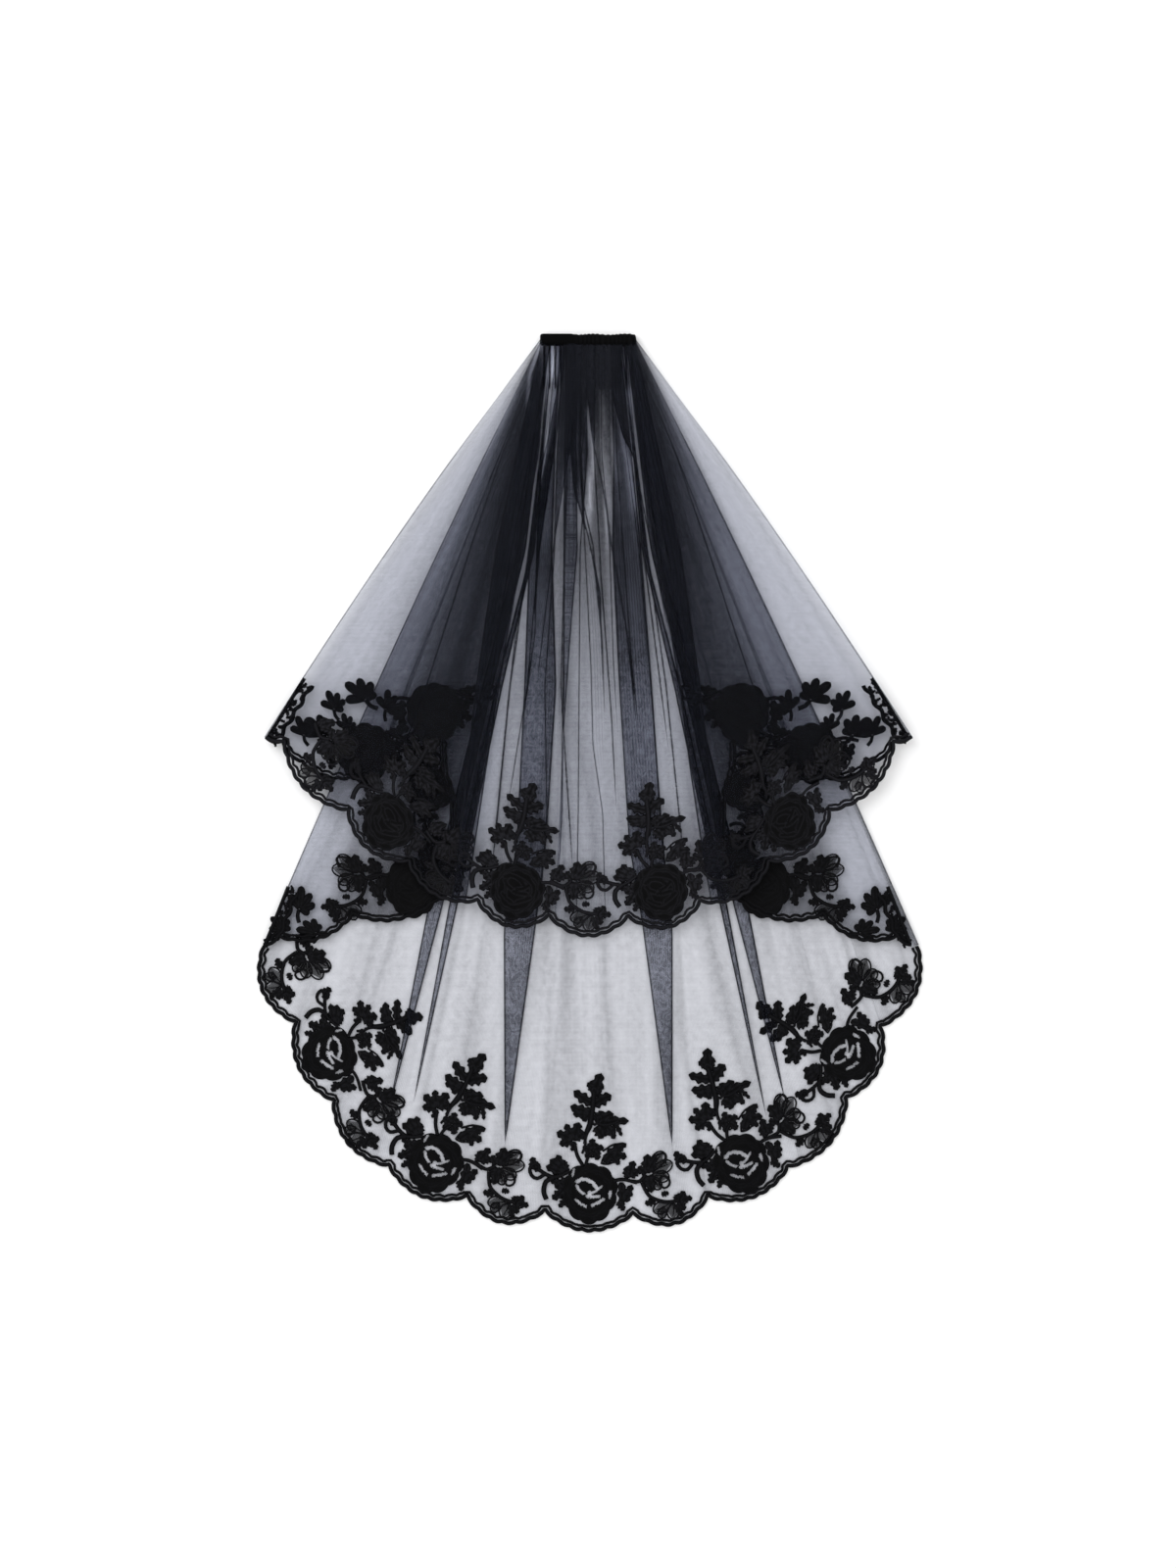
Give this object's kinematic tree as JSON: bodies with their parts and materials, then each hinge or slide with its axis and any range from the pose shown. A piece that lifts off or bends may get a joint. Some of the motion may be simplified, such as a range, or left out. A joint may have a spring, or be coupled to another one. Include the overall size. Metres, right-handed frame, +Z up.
{
  "type": "lace veil",
  "caption": "Black two-tier tulle wedding veil with a scalloped floral lace edge, gathered on a small plastic hair comb, laid flat with folded sides",
  "frame": {"origin": "Middle of the underside of the binding band over the comb, on the surface the veil lies on", "axes": "+X across the comb, +Y from the hem towards the comb, +Z up from the surface"},
  "size_m": [0.6768, 0.9203, 0.0177],
  "materials": {
    "comb_plastic": "moulded black plastic",
    "binding_fabric": "black gathered ribbon over the spine",
    "tulle": "fine sheer black tulle net",
    "lace": "black embroidered and corded lace"
  },
  "bodies": {
    "root": {"comb": "comb_plastic", "binding_band": "binding_fabric", "tulle_lower_tier": "tulle", "tulle_upper_tier": "tulle", "edge_cord_lower_face": "lace", "edge_cord_lower_fold_left": "lace", "edge_cord_lower_fold_right": "lace", "edge_cord_upper_back_left": "lace", "edge_cord_upper_back_right": "lace", "edge_cord_upper_face": "lace", "lace_spray_lower_1": "lace", "lace_spray_lower_2": "lace", "lace_spray_lower_3": "lace", "lace_spray_lower_4": "lace", "lace_spray_lower_centre": "lace", "lace_spray_upper_1": "lace", "lace_spray_upper_2": "lace", "lace_spray_upper_3": "lace", "lace_spray_upper_4": "lace", "lace_spray_lower_fold_left": "lace", "lace_spray_lower_fold_right": "lace", "lace_spray_upper_back_left": "lace", "lace_spray_upper_back_right": "lace"}
  },
  "joints": []
}
